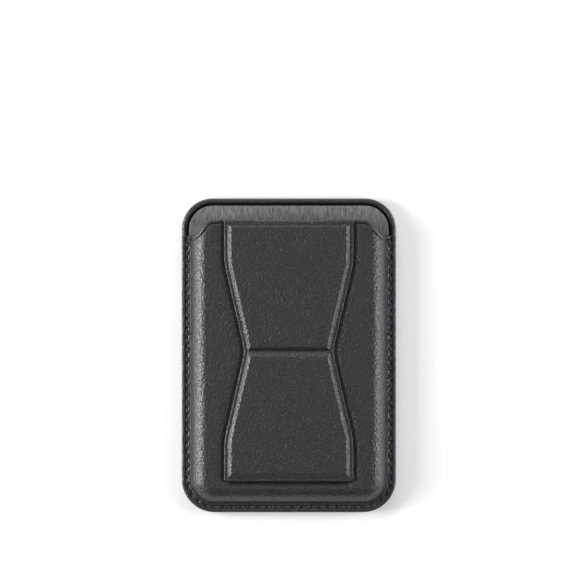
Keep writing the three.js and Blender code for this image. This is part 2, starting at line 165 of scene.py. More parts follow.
def wallet_loop(inset):
    """The wallet's outline moved inwards, in close points, counter-clockwise from the bottom right corner."""
    tightest = 0.2 * mm
    side_points, top_points, bottom_points = 220, 40, 130
    x, y = half_width - inset, half_height - inset
    low, top = max(bottom_corner - inset, tightest), max(top_corner - inset, tightest)
    up = np.linspace(bottom_corner - half_height, half_height - top_corner, side_points)[1:-1]
    over = np.linspace(half_width - top_corner, top_corner - half_width, top_points)[1:-1]
    along = np.linspace(bottom_corner - half_width, half_width - bottom_corner, bottom_points)[1:-1]
    return np.array(corner_arc(x - low, -y + low, low, -1) + [(x, v) for v in up]
                    + corner_arc(x - top, y - top, top, 0) + [(u, y) for u in over]
                    + corner_arc(-x + top, y - top, top, 1) + [(-x, v) for v in up[::-1]]
                    + corner_arc(-x + low, -y + low, low, 2) + [(u, -y) for u in along])


def loft(levels):
    """Vertices and faces of a closed solid through outline loops, each level an inset and a height."""
    loops = []
    for inset, z in levels:
        loop = wallet_loop(inset)
        loops.append(np.column_stack([loop, np.full(len(loop), z)]))
    count = len(loops[0])
    faces = [tuple(range(count))[::-1]]
    for level in range(len(loops) - 1):
        for i in range(count):
            a, b = level * count + i, level * count + (i + 1) % count
            faces.append((a, b, b + count, a + count))
    faces.append(tuple(range((len(loops) - 1) * count, len(loops) * count)))
    return np.vstack(loops), faces


def make_piece(name, vertices, faces, material, body, slot_name, *nodes, sharp=None):
    """A smooth-shaded mesh that rides on a body and stands for CAD nodes."""
    mesh = bpy.data.meshes.new(name)
    mesh.from_pydata([tuple(v) for v in vertices], [], [tuple(int(i) for i in f) for f in faces])
    mesh.validate()
    mesh.polygons.foreach_set("use_smooth", [True] * len(mesh.polygons))
    if sharp:
        mesh.set_sharp_from_angle(angle=math.radians(sharp))
    mesh.materials.append(material)
    piece = bpy.data.objects.new(name, mesh)
    bpy.context.scene.collection.objects.link(piece)
    if body:
        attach(piece, body)
    if nodes:
        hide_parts(*nodes)
    return piece


def outline_inset(x, y):
    """Distance inwards from the wallet's outline."""
    px, py = np.abs(x), np.abs(y)
    radius = np.where(y < 0, bottom_corner, top_corner)
    qx, qy = px - (half_width - radius), py - (half_height - radius)
    outside = np.hypot(np.maximum(qx, 0), np.maximum(qy, 0))
    return radius - outside - np.minimum(np.maximum(qx, qy), 0)


def seam_path():
    """The row of stitches as a function of its length, from the mouth's left end round to its right end."""
    start_y = mouth_low_y - seam_below_mouth
    radius = bottom_corner - seam_inset
    side, base = half_width - seam_inset, half_height - bottom_corner
    run, turn, bottom_run = start_y + base, radius * math.pi / 2, 2 * (half_width - bottom_corner)
    total = 2 * run + 2 * turn + bottom_run

    def at(s):
        mirror = s > total / 2
        t = total - s if mirror else s
        if t < run:
            x, y, ux, uy = -side, start_y - t, 0.0, -1.0
        elif t < run + turn:
            a = (t - run) / radius
            x, y = -half_width + bottom_corner - radius * math.cos(a), -base - radius * math.sin(a)
            ux, uy = math.sin(a), -math.cos(a)
        else:
            x, y, ux, uy = -half_width + bottom_corner + t - run - turn, -base - radius, 1.0, 0.0
        return (-x, y, ux, -uy) if mirror else (x, y, ux, uy)

    return at, total


seam_at, seam_length = seam_path()
stitch_count = round(seam_length / stitch_pitch)
pitch = seam_length / stitch_count
holes = np.array([seam_at(i * pitch) for i in range(stitch_count + 1)])


def seam_dip(x, y):
    """How far leather is pulled in along the seam: a shallow channel with a slanting slot at each hole."""
    inset = outline_inset(x, y)
    channel = channel_depth * np.exp(-(((inset - seam_inset) / channel_half_width) ** 2))
    channel = np.where((y < mouth_low_y - channel_below_mouth) & (inset < border_width), channel, 0)
    slots = np.zeros(len(x))
    near = np.flatnonzero((inset > dip_from) & (inset < dip_to) & (y < mouth_low_y))
    for hx, hy, ux, uy in holes:
        dx, dy = x[near] - hx, y[near] - hy
        along = dx * ux + dy * uy
        across = -dx * uy + dy * ux + hole_slant * along
        depth = hole_depth * np.exp(-((along / hole_half_length) ** 4) - (across / hole_half_width) ** 2)
        slots[near] = np.maximum(slots[near], depth)
    return np.minimum(channel + slots, deepest_dip)


# The back's section in millimetres, from its underside round the edge and over the rim down to the lining:
# insets on the underside, then insets with heights, insets with drops from the rim's top, and distances from
# the rim's inner edge with drops.
underside = (2.6, 2.3, 2.1, 1.95, 1.8, 1.65, 1.5, 1.35, 1.2, 1.0, 0.8, 0.5)
lower_edge = ((0.25, 0.08), (0.06, 0.28), (0.0, 0.6))
rim_roll = ((0.02, 0.62), (0.09, 0.42), (0.2, 0.27), (0.34, 0.15), (0.5, 0.07), (0.68, 0.02), (0.85, 0.0),
            (1.05, 0.03), (1.2, 0.1))
rim_crease = ((0.55, 0.2), (0.3, 0.5), (0.1, 1.1), (0.0, 1.3))
levels = [(inset * mm, 0.0) for inset in underside]
levels += [(inset * mm, height * mm) for inset, height in lower_edge] + [(0.0, rim_top / 2)]
levels += [(inset * mm, rim_top - drop * mm) for inset, drop in rim_roll]
levels += [(rim_width - outwards * mm, rim_top - drop * mm) for outwards, drop in rim_crease]
levels += [(rim_width, back_thickness + inner_fillet), (rim_width + inner_fillet, back_thickness)]
vertices, faces = loft(levels)
flat_back = vertices[:, 2] < 1e-6
pulled_in = back_pull * seam_dip(vertices[flat_back, 0], vertices[flat_back, 1])
vertices[flat_back, 2] = np.minimum(pulled_in, back_deepest)
make_piece("back_leather", vertices, faces, face_leather, "wallet", "black_leather", "back_skin", sharp=50)

# Hidden inside: a moulded sheet with its ring and bar of nickel-plated magnets, a steel washer over them,
# a steel keeper plate, and boards that keep the front and the stand flat. They keep their CAD solids.


def plain_finish(name, dark, light, speck, roughness, metallic):
    """A made surface with faint specks and a slight unevenness, hidden until the wallet is taken apart."""
    material, shader = new_material(name)
    place = add_node(material, "ShaderNodeTexCoord", {}).outputs["Object"]
    specks = add_node(material, "ShaderNodeTexNoise", {"Vector": place, "Scale": 1 / speck, "Detail": 3.0})
    tone = add_node(material, "ShaderNodeValToRGB", {"Fac": specks.outputs["Fac"]},
                    [(0.3, dark), (0.7, light)])
    bump = add_node(material, "ShaderNodeBump", {"Height": specks.outputs["Fac"], "Distance": 0.01 * mm})
    feed(material, shader, {
        "Base Color": tone.outputs["Color"],
        "Normal": bump.outputs["Normal"],
        "Roughness": roughness,
        "Metallic": metallic,
    })
    return material


# Nylon from the mould is near black and half matt, and pressed fibreboard a mottled, matt grey-brown.
# Rolled steel has a dull grey shine, and nickel plate a paler, glossier and warmer one.
inner_finishes = {
    "carrier_plastic": plain_finish("moulded_nylon", "#242527", "#303133", 0.6 * mm, 0.55, 0.0),
    "fibreboard": plain_finish("pressed_fibreboard", "#6d6659", "#837b6d", 0.5 * mm, 0.9, 0.0),
    "steel_sheet": plain_finish("rolled_steel", "#86898d", "#9a9da1", 0.3 * mm, 0.4, 1.0),
    "plated_magnet": plain_finish("nickel_plate", "#adaca6", "#bdbcb6", 0.8 * mm, 0.28, 1.0),
}
for part in frame["record"]["subparts"]:
    if part["material_slot"] in inner_finishes:
        solid = frame["nodes"][part["node"]]
        solid.data.materials.clear()
        solid.data.materials.append(inner_finishes[part["material_slot"]])

# Pocket lining: grey microfibre suede, napped along the pocket so that cards slide in.
# It is die-cut and laid inside the turned rim, where its cut edge stands up a little.
lining_low, lining_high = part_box("pocket_lining")
lining_inset = half_width - lining_high[0]
edge_rise, edge_radius, edge_steps = 0.06 * mm, 0.16 * mm, 3
edge_bevel, edge_foot, edge_flat, edge_slope = 0.02 * mm, 0.12 * mm, 0.5 * mm, 1.1 * mm


def napped_suede(name, dark, light):
    """Microfibre suede brushed one way: streaks about 0.35 mm wide and 3 mm long, and a soft pale nap."""
    streak, length = 0.35 * mm, 3 * mm
    material, shader = new_material(name)
    place = add_node(material, "ShaderNodeTexCoord", {}).outputs["Object"]
    stretched = add_node(material, "ShaderNodeMapping",
                         {"Vector": place, "Scale": (1 / streak, 1 / length, 1 / streak)})
    streaks = add_node(material, "ShaderNodeTexNoise", {
        "Vector": stretched.outputs["Vector"],
        "Scale": 1.0,
        "Detail": 3.0,
        "Distortion": 0.6,
    })
    tone = add_node(material, "ShaderNodeValToRGB", {"Fac": streaks.outputs["Fac"]},
                    [(0.3, dark), (0.72, light)])
    bump = add_node(material, "ShaderNodeBump", {"Height": streaks.outputs["Fac"], "Distance": 0.06 * mm})
    feed(material, shader, {
        "Base Color": tone.outputs["Color"],
        "Normal": bump.outputs["Normal"],
        "Roughness": 0.85,
        "Sheen Weight": 0.15,
        "Sheen Roughness": 0.5,
    })
    return material


suede = napped_suede("napped_microfibre", "#464647", "#858586")
edge_top_z = lining_high[2] + edge_rise
levels = [(lining_inset + edge_bevel, lining_low[2]), (lining_inset, lining_low[2] + edge_foot)]
for angle in np.arange(edge_steps + 1) / edge_steps * math.pi / 2:
    inwards, down = edge_radius * (1 - math.cos(angle)), edge_radius * (1 - math.sin(angle))
    levels.append((lining_inset + inwards, edge_top_z - down))
levels += [(lining_inset + edge_flat, edge_top_z), (lining_inset + edge_slope, lining_high[2])]
vertices, faces = loft(levels)
make_piece("suede_lining", vertices, faces, suede, "wallet", "napped_lining", "pocket_lining", sharp=60)

front_lining = frame["nodes"]["front_lining"]
front_lining.data.materials.clear()
front_lining.data.materials.append(suede)

# Front cover: one piece of coated leather, steam-moulded over a form into a flat border, a rounded shoulder
# and a flat face. The mouth is turned in and glued, and the stand's recess and finger slot are pressed last.
mouth_y, face_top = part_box("front_cover")[1][1:]
cover_thickness = 0.7 * mm
border_top = rim_top + 0.8 * mm
border_round, border_round_drop = 0.6 * mm, 0.45 * mm
shoulder_width, inner_shoulder_width, steepness = 4.8 * mm, 4.5 * mm, 0.93
mouth_flat = 22.4 * mm
mouth_upper, mouth_lower, mouth_slope = 3.4 * mm, 2.6 * mm, math.radians(50)
mouth_round, mouth_round_drop, mouth_round_rise, mouth_round_least = 0.6 * mm, 0.5 * mm, 1.5 * mm, 0.45
turned_edge, lip_thickness, lip_swell, lip_fullness = 1.35 * mm, 1.7 * mm, 0.16 * mm, 0.7
lip_crease_depth, lip_crease_width = 0.36 * mm, 0.2 * mm
lip_end, lip_end_fade, lip_stand_fade = 1.6 * mm, 0.8 * mm, 1.2 * mm
crease_y, hinge_z = next(j["pos_m"][1:] for j in frame["joints"] if j["name"] == "stand_hinge")
fold_y, fold_z = next(j["pos_m"][1:] for j in frame["joints"] if j["name"] == "stand_fold")
stand_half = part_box("stand_lower_skin")[1][0]
stand_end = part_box("stand_lower_skin")[0][1]
waist_half, waist_ease = 13.2 * mm, 0.325 * mm
upper_bend, lower_bend = crease_y - 11.65 * mm, stand_end + 12.45 * mm
wrap_edge, wrap_gap, wrap_gap_half = mouth_y - 0.9 * mm, 0.25 * mm, 0.03 * mm
dish_depth, dish_start, dish_slope = 0.4 * mm, 0.2 * mm, 2.3 * mm
step_depth, step_start, step_width = 0.1 * mm, 0.3 * mm, 0.35 * mm
recess_past_end, recess_end_fade = 0.35 * mm, 0.45 * mm
slot_depth, slot_length, slot_slope, slot_corner = 0.9 * mm, 1.05 * mm, 1.2 * mm, 2.4 * mm
slot_inside_stand, slot_hollow = 0.2 * mm, 1.7
inner_dish_margin, inner_dish_depth = 1 * mm, 1 * mm
thinnest_leather = 0.25 * mm


def smooth_step(t):
    """0 to 1 with a soft start and end."""
    t = np.clip(t, 0, 1)
    return t * t * (3 - 2 * t)


def roll_off(t):
    """Drop of a quarter-round edge as a share of its depth, from 1 at the very edge to 0 on the flat."""
    return 1 - np.sqrt(1 - (1 - np.clip(t, 0, 1)) ** 2)


def mouth_line(x):
    """Height along Y of the mouth at each x: flat, then an S of two arcs and a straight, to the border."""
    arcs_drop = (mouth_upper + mouth_lower) * (1 - math.cos(mouth_slope))
    straight = (mouth_drop - arcs_drop) / math.sin(mouth_slope)
    run = np.abs(x) - mouth_flat
    arc_run, arc_drop = mouth_upper * math.sin(mouth_slope), mouth_upper * (1 - math.cos(mouth_slope))
    line_run = arc_run + straight * math.cos(mouth_slope)
    end_run = line_run + mouth_lower * math.sin(mouth_slope)
    first = mouth_upper - np.sqrt(np.maximum(mouth_upper**2 - np.clip(run, 0, arc_run) ** 2, 0))
    middle = arc_drop + (np.clip(run, arc_run, line_run) - arc_run) * math.tan(mouth_slope)
    last = mouth_drop - mouth_lower + np.sqrt(
        np.maximum(mouth_lower**2 - np.clip(end_run - run, 0, mouth_lower) ** 2, 0))
    drop = np.where(run < arc_run, first, np.where(run < line_run, middle, last))
    return mouth_y - np.where(run < 0, 0, np.minimum(drop, mouth_drop))


def stand_half_at(y):
    """Half width of the hourglass at each y: narrow at the waist, full at both ends, its bends eased."""
    full = stand_half - waist_half
    upper_slope, lower_slope = full / (upper_bend - fold_y), full / (fold_y - lower_bend)
    wider = np.where(y > fold_y, (y - fold_y) * upper_slope, (fold_y - y) * lower_slope)
    over = full - np.sqrt(wider**2 + waist_ease**2)
    return stand_half - 0.5 * (over + np.sqrt(over**2 + waist_ease**2))


def from_line(x, y, line_x, line_y):
    """Shortest distance from each point to an open line."""
    best = np.full(len(x), np.inf)
    for x0, y0, x1, y1 in zip(line_x[:-1], line_y[:-1], line_x[1:], line_y[1:]):
        dx, dy = x1 - x0, y1 - y0
        t = np.clip(((x - x0) * dx + (y - y0) * dy) / (dx * dx + dy * dy), 0, 1)
        best = np.minimum(best, np.hypot(x - x0 - t * dx, y - y0 - t * dy))
    return best


mouth_right = np.linspace(mouth_flat, half_width, 50)
mouth_xs = np.concatenate([-mouth_right[::-1], mouth_right])
mouth_ys = mouth_line(mouth_xs)


def stand_recess(x, y):
    """Depth of the recess round the stand: a gentle dish, a small step at its foot, and the finger slot."""
    side = np.abs(x) - stand_half_at(y)
    dish = dish_depth * (1 - np.clip((side - dish_start) / dish_slope, 0, 1)) ** 2
    step = step_depth * (1 - smooth_step((side - step_start) / step_width))
    beside = (dish + step) * smooth_step((y - stand_end + recess_past_end) / recess_end_fade)
    reach_x = np.abs(x) - (stand_half - slot_inside_stand - slot_corner)
    reach_y = stand_end - slot_length + slot_corner - y
    past_corner = np.hypot(np.maximum(reach_x, 0), np.maximum(reach_y, 0))
    past_slot = past_corner + np.minimum(np.maximum(reach_x, reach_y), 0) - slot_corner
    outwards = np.clip((past_slot + slot_length) / (slot_slope + slot_length), 0, 1)
    slot = slot_depth * (1 - outwards) ** slot_hollow
    return np.where(y < stand_end + slot_corner, np.maximum(beside, slot), beside)


def cover_outside(x, y):
    """Height of the cover's outer surface: the border, the shoulder and the face, with what is pressed in."""
    inset = outline_inset(x, y)
    t = np.clip((inset - border_width) / shoulder_width, 0, 1)
    foot = math.sqrt(1 - steepness**2)
    shoulder = (np.sqrt(1 - (steepness * (1 - t)) ** 2) - foot) / (1 - foot)
    z = border_top + (face_top - border_top) * shoulder
    z -= border_round_drop * roll_off(inset / border_round)
    z -= seam_dip(x, y) + stand_recess(x, y)
    to_mouth = from_line(x, y, mouth_xs, mouth_ys)
    off_stand = smooth_step((np.abs(x) - stand_half_at(y) - step_start) / lip_stand_fade)
    on_lip = off_stand * smooth_step((inset - lip_end) / lip_end_fade)
    z += lip_swell * np.sin(math.pi * np.clip(to_mouth / turned_edge, 0, 1)) ** lip_fullness * on_lip
    z -= lip_crease_depth * np.exp(-np.abs(to_mouth - turned_edge) / lip_crease_width) * on_lip
    fuller_above = np.clip((z - border_top) / mouth_round_rise, mouth_round_least, 1)
    return z - mouth_round_drop * roll_off(to_mouth / mouth_round) * fuller_above


def cover_inside(x, y):
    """Height of the cover's inner surface: flat under the border, along the shoulder, lower at the lip."""
    inset = outline_inset(x, y)
    foot = border_width + cover_thickness
    climb = (face_top - cover_thickness - border_top) * (1 - roll_off((inset - foot) / inner_shoulder_width))
    z = np.where(inset < foot, rim_top, border_top + climb)
    under_dish = (np.abs(x) - stand_half_at(y) < inner_dish_margin) & (y > stand_end - slot_length)
    z = np.where(under_dish, np.minimum(z, face_top - inner_dish_depth), z)
    on_lip = from_line(x, y, mouth_xs, mouth_ys) < turned_edge
    on_lip |= (np.abs(x) < mouth_flat) & (y > mouth_y - turned_edge)
    return np.where(on_lip & (z > face_top - lip_thickness), face_top - lip_thickness, z)


def top_line(x):
    """Where the cover ends at each x: the mouth, cut back under the leather that wraps it."""
    return np.where(np.abs(x) < stand_half + wrap_gap, wrap_edge, mouth_line(x))


def spaced(start, *spans):
    """Places along a line from a start, each span an end and a number of steps."""
    places = [start]
    for end, steps in spans:
        places += list(places[-1] + (end - places[-1]) * np.arange(1, steps + 1) / steps)
    return np.array(places)


def joined_grids(*grids):
    """Plan and faces of a sheet of grids that share their edges, each given as its x, its y and whether it is
    mirrored. Points that agree to a ten-thousandth of a millimetre are one."""
    fineness = 1e7
    found, faces = {}, []
    for grid_x, grid_y, mirrored in grids:
        index = np.empty(grid_x.shape, int)
        for place in np.ndindex(grid_x.shape):
            key = (round(grid_x[place] * fineness), round(grid_y[place] * fineness))
            index[place] = found.setdefault(key, len(found))
        for i in range(grid_x.shape[0] - 1):
            for j in range(grid_x.shape[1] - 1):
                quad = [index[i, j], index[i, j + 1], index[i + 1, j + 1], index[i + 1, j]]
                quad = [q for n, q in enumerate(quad) if q != quad[n - 1]]
                if len(quad) > 2:
                    faces.append(quad[::-1] if mirrored else quad)
    return np.array(list(found)) / fineness, faces


def close_sheet(plan, top_z, under_z, faces):
    """A closed body from a sheet's plan and faces: the sheet, its copy below, and a wall round the rim."""
    count = len(plan)
    edges = {}
    for face in faces:
        for a, b in zip(face, face[1:] + face[:1]):
            if (b, a) in edges:
                del edges[(b, a)]
            else:
                edges[(a, b)] = True
    body = [tuple(f) for f in faces] + [tuple(i + count for i in f[::-1]) for f in faces]
    body += [(b, a, a + count, b + count) for a, b in edges]
    vertices = np.vstack([np.column_stack([plan, top_z]), np.column_stack([plan, under_z])])
    return vertices, body


# The sheet's grids: rows up to a little below the mouth, rows that then lean over to follow it, a strip along
# the bottom, and a fan in each bottom corner. Columns lie close where the wrap's edge is.
insets = spaced(0.0, (0.6 * mm, 7), (2.5 * mm, 10), (border_width, 2), (3.2 * mm, 7), (4.2 * mm, 6),
                (bottom_corner, 24))
middle = np.linspace(-half_width + bottom_corner, half_width - bottom_corner, 90)
wrap_sides = stand_half + wrap_gap + np.array([-wrap_gap_half, wrap_gap_half])
columns = np.unique(np.concatenate([-half_width + insets[:-1], middle, half_width - insets[-2::-1],
                                    -wrap_sides, wrap_sides]))
straight_rows_end = 28 * mm
straight_rows = np.linspace(-half_height + bottom_corner, straight_rows_end, 132)
to_top = 1 - np.concatenate([[1], np.linspace(1, 0.2, 22)[1:], np.linspace(0.2, 0, 16)[1:]])
top_x = np.tile(columns, (len(to_top), 1))
top_y = straight_rows_end + np.outer(to_top, top_line(columns) - straight_rows_end)
low_columns = columns[np.abs(columns) <= half_width - bottom_corner + 1e-9]
turns = np.linspace(math.pi, 1.5 * math.pi, 37)
fan_x = -half_width + bottom_corner + np.outer(np.cos(turns), bottom_corner - insets)
fan_y = -half_height + bottom_corner + np.outer(np.sin(turns), bottom_corner - insets)
plan, cover_faces = joined_grids(
    (*np.meshgrid(columns, straight_rows), False),
    (top_x, top_y, False),
    (*np.meshgrid(low_columns, -half_height + insets), False),
    (fan_x, fan_y, False),
    (-fan_x, fan_y, True),
)
top_z = cover_outside(plan[:, 0], plan[:, 1])
under_z = np.minimum(cover_inside(plan[:, 0], plan[:, 1]), top_z - thinnest_leather)
vertices, faces = close_sheet(plan, top_z, under_z, cover_faces)
make_piece("moulded_front", vertices, faces, face_leather, "wallet", "black_leather", "front_cover", sharp=75)

# Seam: one row of lock stitches in bonded polyester thread, about 0.35 mm thick, along the border from one end
# of the mouth round to the other. Each stitch lies in the channel and dives into a slot at both ends.
thread_radius, stitch_gap, stitch_lean = 0.18 * mm, 0.06, 0.09 * mm
end_depth, arch_height, end_thinning = 0.42 * mm, 0.45 * mm, 0.2
back_channel = 0.24 * mm


def twisted_thread(name, dark, light):
    """Black bonded polyester: three plies twisted about once in 1.2 mm, a little glossy from the bonding."""
    twist = 1.2 * mm
    material, shader = new_material(name)
    place = add_node(material, "ShaderNodeTexCoord", {}).outputs["Object"]
    wave = add_node(material, "ShaderNodeTexWave", {"Vector": place, "Scale": 0.5 / twist, "Distortion": 1.0},
                    bands_direction="DIAGONAL")
    # The colour follows the twist's bands, dark in the grooves and lighter on the crowns: a painted highlight
    # along the plies of a black thread.
    tone = add_node(material, "ShaderNodeValToRGB", {"Fac": wave.outputs["Fac"]}, [(0.1, dark), (0.9, light)])
    bump = add_node(material, "ShaderNodeBump", {"Height": wave.outputs["Fac"], "Distance": 0.05 * mm})
    feed(material, shader, {
        "Base Color": tone.outputs["Color"],
        "Normal": bump.outputs["Normal"],
        "Roughness": 0.5,
    })
    return material


# The thread is black; its lighter colour, on the plies' crowns, is a painted highlight.
thread = twisted_thread("bonded_thread", "#2c2c2d", "#5a5a5b")


def stitch_row(surface, direction):
    """Tubes for all stitches over a surface height, arching out along direction (1 up or -1 down)."""
    vertices, faces = [], []
    steps, sides = 8, 8
    for number in range(stitch_count):
        base = len(vertices)
        for i in range(steps + 1):
            t = i / steps
            x, y, ux, uy = seam_at((number + stitch_gap + (1 - 2 * stitch_gap) * t) * pitch)
            lean = stitch_lean * (2 * t - 1)
            arch = math.sin(math.pi * t) ** 0.5
            z = surface + direction * (-end_depth + arch_height * arch)
            thick = thread_radius * (1 - end_thinning * (1 - arch))
            for k in range(sides):
                a = 2 * math.pi * k / sides
                out, up = lean + thick * math.cos(a), thick * math.sin(a)
                vertices.append((x - uy * out, y + ux * out, z + up))
        for i in range(steps):
            for k in range(sides):
                a, b = base + i * sides + k, base + i * sides + (k + 1) % sides
                faces.append((a, b, b + sides, a + sides))
        faces.append(tuple(base + k for k in range(sides))[::-1])
        faces.append(tuple(base + steps * sides + k for k in range(sides)))
    return vertices, faces


vertices, faces = stitch_row(border_top, 1)
make_piece("border_stitches", vertices, faces, thread, "wallet", "black_leather")
vertices, faces = stitch_row(back_channel, -1)
make_piece("back_stitches", vertices, faces, thread, "wallet", "black_leather")

# Stand: face leather moulded over two boards, with flat margins, rounded bevels and a groove at the waist.
# It is one skin from the crease to the free end.
edge_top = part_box("stand_wrap")[1][2]
pad_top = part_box("stand_upper_skin")[1][2]
skin_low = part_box("stand_upper_skin")[0][2]
board_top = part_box("stand_upper_board")[1][2]
stand_margin, bevel, bevel_curve, pad_corner = 1.15 * mm, 1.15 * mm, 1.7, 0.5 * mm
board_share = 0.8
groove_high, groove_low = fold_y + 0.3 * mm, fold_y + 0.05 * mm
groove_slope_up, groove_slope_down, groove_curve = 1.3 * mm, 1.65 * mm, 0.65
skin_start = crease_y - 0.4 * mm
upper_pad_end, upper_pad_slope = skin_start + 0.25 * mm, 0.75 * mm
stand_corner, stand_edge_round, stand_edge_drop = 0.9 * mm, 0.3 * mm, 0.26 * mm
skin_clearance, board_clearance, thinnest_skin = 0.005 * mm, 0.01 * mm, 0.1 * mm
bend = 0.7 * mm
probe_y = np.linspace(stand_end - mm, mouth_y, 400)
probe_slope = np.gradient(stand_half_at(probe_y), probe_y)


def pad_share(x, y, low, low_slope, high, high_slope, straighten):
    """0 at the foot of a pad to 1 on its top, for a pad that runs between two heights along Y."""
    lean = np.cos(np.arctan(np.interp(y, probe_y, probe_slope)))
    side = ((stand_half_at(y) - np.abs(x)) * lean - stand_margin) / bevel
    ramp = 1 - (1 - np.clip((high - y) / high_slope, 0, 1)) ** straighten
    end = np.minimum((y - low) / low_slope, ramp)
    corner = pad_corner / bevel
    past_side, past_end = np.maximum(corner - side, 0), np.maximum(corner - end, 0)
    rounded = corner - np.hypot(past_side, past_end)
    return np.where((past_side > 0) & (past_end > 0), rounded, np.minimum(side, end))


def pads(x, y):
    """The larger share of the two pads."""
    upper = pad_share(x, y, groove_high, groove_slope_up, upper_pad_end, upper_pad_slope, 1.0)
    lower = pad_share(x, y, stand_end + stand_margin, bevel, groove_low, groove_slope_down, groove_curve)
    return np.maximum(upper, lower)


def stand_face(x, y):
    """Height of the stand's face: margin, bevel and pad, with a pressed line at the fold and soft edges."""
    t = np.clip(pads(x, y), 0, 1)
    z = edge_top + (pad_top - edge_top) * (1 - (1 - t) ** bevel_curve)
    to_edge = np.minimum(stand_half_at(y) - np.abs(x), y - stand_end)
    return z - stand_edge_drop * roll_off(to_edge / stand_edge_round)


def stand_plan(rows):
    """Plan and faces of the hourglass as a grid that follows its sides, its free corners rounded."""
    side_insets = spaced(0.0, (stand_edge_round, 5), (stand_margin, 4), (stand_margin + bevel, 11),
                         (2.8 * mm, 2))
    plan_x, plan_y = [], []
    for y in rows:
        half = float(stand_half_at(np.array([y]))[0])
        to_end = y - stand_end
        if to_end < stand_corner:
            half -= stand_corner - math.sqrt(max(stand_corner**2 - (stand_corner - to_end) ** 2, 0))
        inner = np.linspace(-half + side_insets[-1], half - side_insets[-1], 64)
        line = np.concatenate([-half + side_insets[:-1], inner, half - side_insets[-2::-1]])
        plan_x.append(line)
        plan_y.append(np.full(len(line), y))
    return joined_grids((np.array(plan_x), np.array(plan_y), False))


rows = spaced(stand_end, (stand_end + stand_edge_round, 5), (stand_end + stand_margin, 5),
              (stand_end + stand_margin + bevel, 9), (groove_low - groove_slope_down, 56),
              (groove_low, 13), (groove_high, 3), (groove_high + groove_slope_up, 11),
              (skin_start - bevel, 56), (skin_start, 9))
plan, skin_faces = stand_plan(rows)
over_board = pads(plan[:, 0], plan[:, 1]) > board_share
under_z = np.where(over_board, board_top + board_clearance, skin_low + skin_clearance)
top_z = stand_face(plan[:, 0], plan[:, 1])
vertices, faces = close_sheet(plan, top_z, np.minimum(under_z, top_z - thinnest_skin), skin_faces)
face_skin = make_piece("stand_face_leather", vertices, faces, face_leather, None, "black_leather", sharp=75)
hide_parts("stand_upper_skin", "stand_lower_skin")
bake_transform(face_skin)

# Stand back: thinner, smoother leather glued to the boards' backs, cut to the same outline.
# It is one skin too, with close rows across the waist.
stand_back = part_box("stand_upper_lining")[0][2]
back_edge_round, back_edge_drop = 0.2 * mm, 0.12 * mm
smooth_leather = coated_leather("smooth_back_leather", "#19191a", "#262627", 0.05 * mm, 0.5)
plan, skin_faces = stand_plan(spaced(stand_end, (fold_y - bend, 40), (fold_y + bend, 12), (skin_start, 40)))
to_side = stand_half_at(plan[:, 1]) - np.abs(plan[:, 0])
under_z = stand_back + back_edge_drop * roll_off(to_side / back_edge_round)
vertices, faces = close_sheet(plan, np.full(len(plan), skin_low - skin_clearance), under_z, skin_faces)
back_face = make_piece("stand_back_leather", vertices, faces, smooth_leather, None, "black_leather", sharp=60)
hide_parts("stand_upper_lining", "stand_lower_lining")
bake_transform(back_face)

# Mouth wrap: the stand's leather carried on over the mouth's edge and glued down inside the pocket.
# It is skived thin at the crease, which is the hinge, and a shallow thumb relief is pressed into its edge.
leg_end, leg_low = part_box("stand_wrap")[0][1:]
wrap_thickness, inner_corner, leg_corner = 0.6 * mm, 0.2 * mm, 0.1 * mm
crease_depth, crease_half = 0.1 * mm, 0.3 * mm
roll_start, roll_start_drop, roll_radius, roll_sink = 0.75 * mm, 0.02 * mm, 0.7 * mm, 0.05 * mm
inner_roll_radius, longest_side = 0.35 * mm, 0.35 * mm
relief_half, relief_depth, relief_fade, relief_reach = 10.5 * mm, 0.3 * mm, 1.6 * mm, 1.3 * mm
wrap_side_round, wrap_side_drop = 0.2 * mm, 0.15 * mm
leg_top = leg_low + 0.3 * mm
wrap_start = skin_start + 0.01 * mm


def wrap_section():
    """Outline of the wrap from the crease over the edge to the end of its inner leg and back, as (y, z)."""
    outer = [(wrap_start, edge_top), (crease_y, edge_top - crease_depth), (crease_y + crease_half, edge_top)]
    outer += [(mouth_y - roll_start, edge_top - roll_start_drop)]
    for i in range(1, 9):
        a = math.pi / 2 * (1 - i / 8)
        down = roll_sink + roll_radius * (1 - math.sin(a))
        outer.append((mouth_y - roll_radius * (1 - math.cos(a)), edge_top - down))
    for i in range(7):
        a = -math.pi / 2 * i / 6
        up = inner_roll_radius * (1 + math.sin(a))
        outer.append((mouth_y - inner_roll_radius * (1 - math.cos(a)), leg_low + up))
    outer += [(leg_end + leg_corner, leg_low), (leg_end, leg_low + leg_corner), (leg_end, leg_top)]
    inner_y = mouth_y - wrap_thickness
    inner = [(inner_y - inner_corner, leg_top), (inner_y, leg_top + inner_corner)]
    inner += [(inner_y, stand_back - inner_corner), (inner_y - inner_corner, stand_back)]
    return outer + inner + [(crease_y, stand_back), (wrap_start, stand_back)]


def densify(points, longest):
    """The closed outline with long stretches cut into shorter ones."""
    result = []
    for (y0, z0), (y1, z1) in zip(points, points[1:] + points[:1]):
        steps = max(1, math.ceil(math.hypot(y1 - y0, z1 - z0) / longest))
        result += [(y0 + (y1 - y0) * i / steps, z0 + (z1 - z0) * i / steps) for i in range(steps)]
    return result


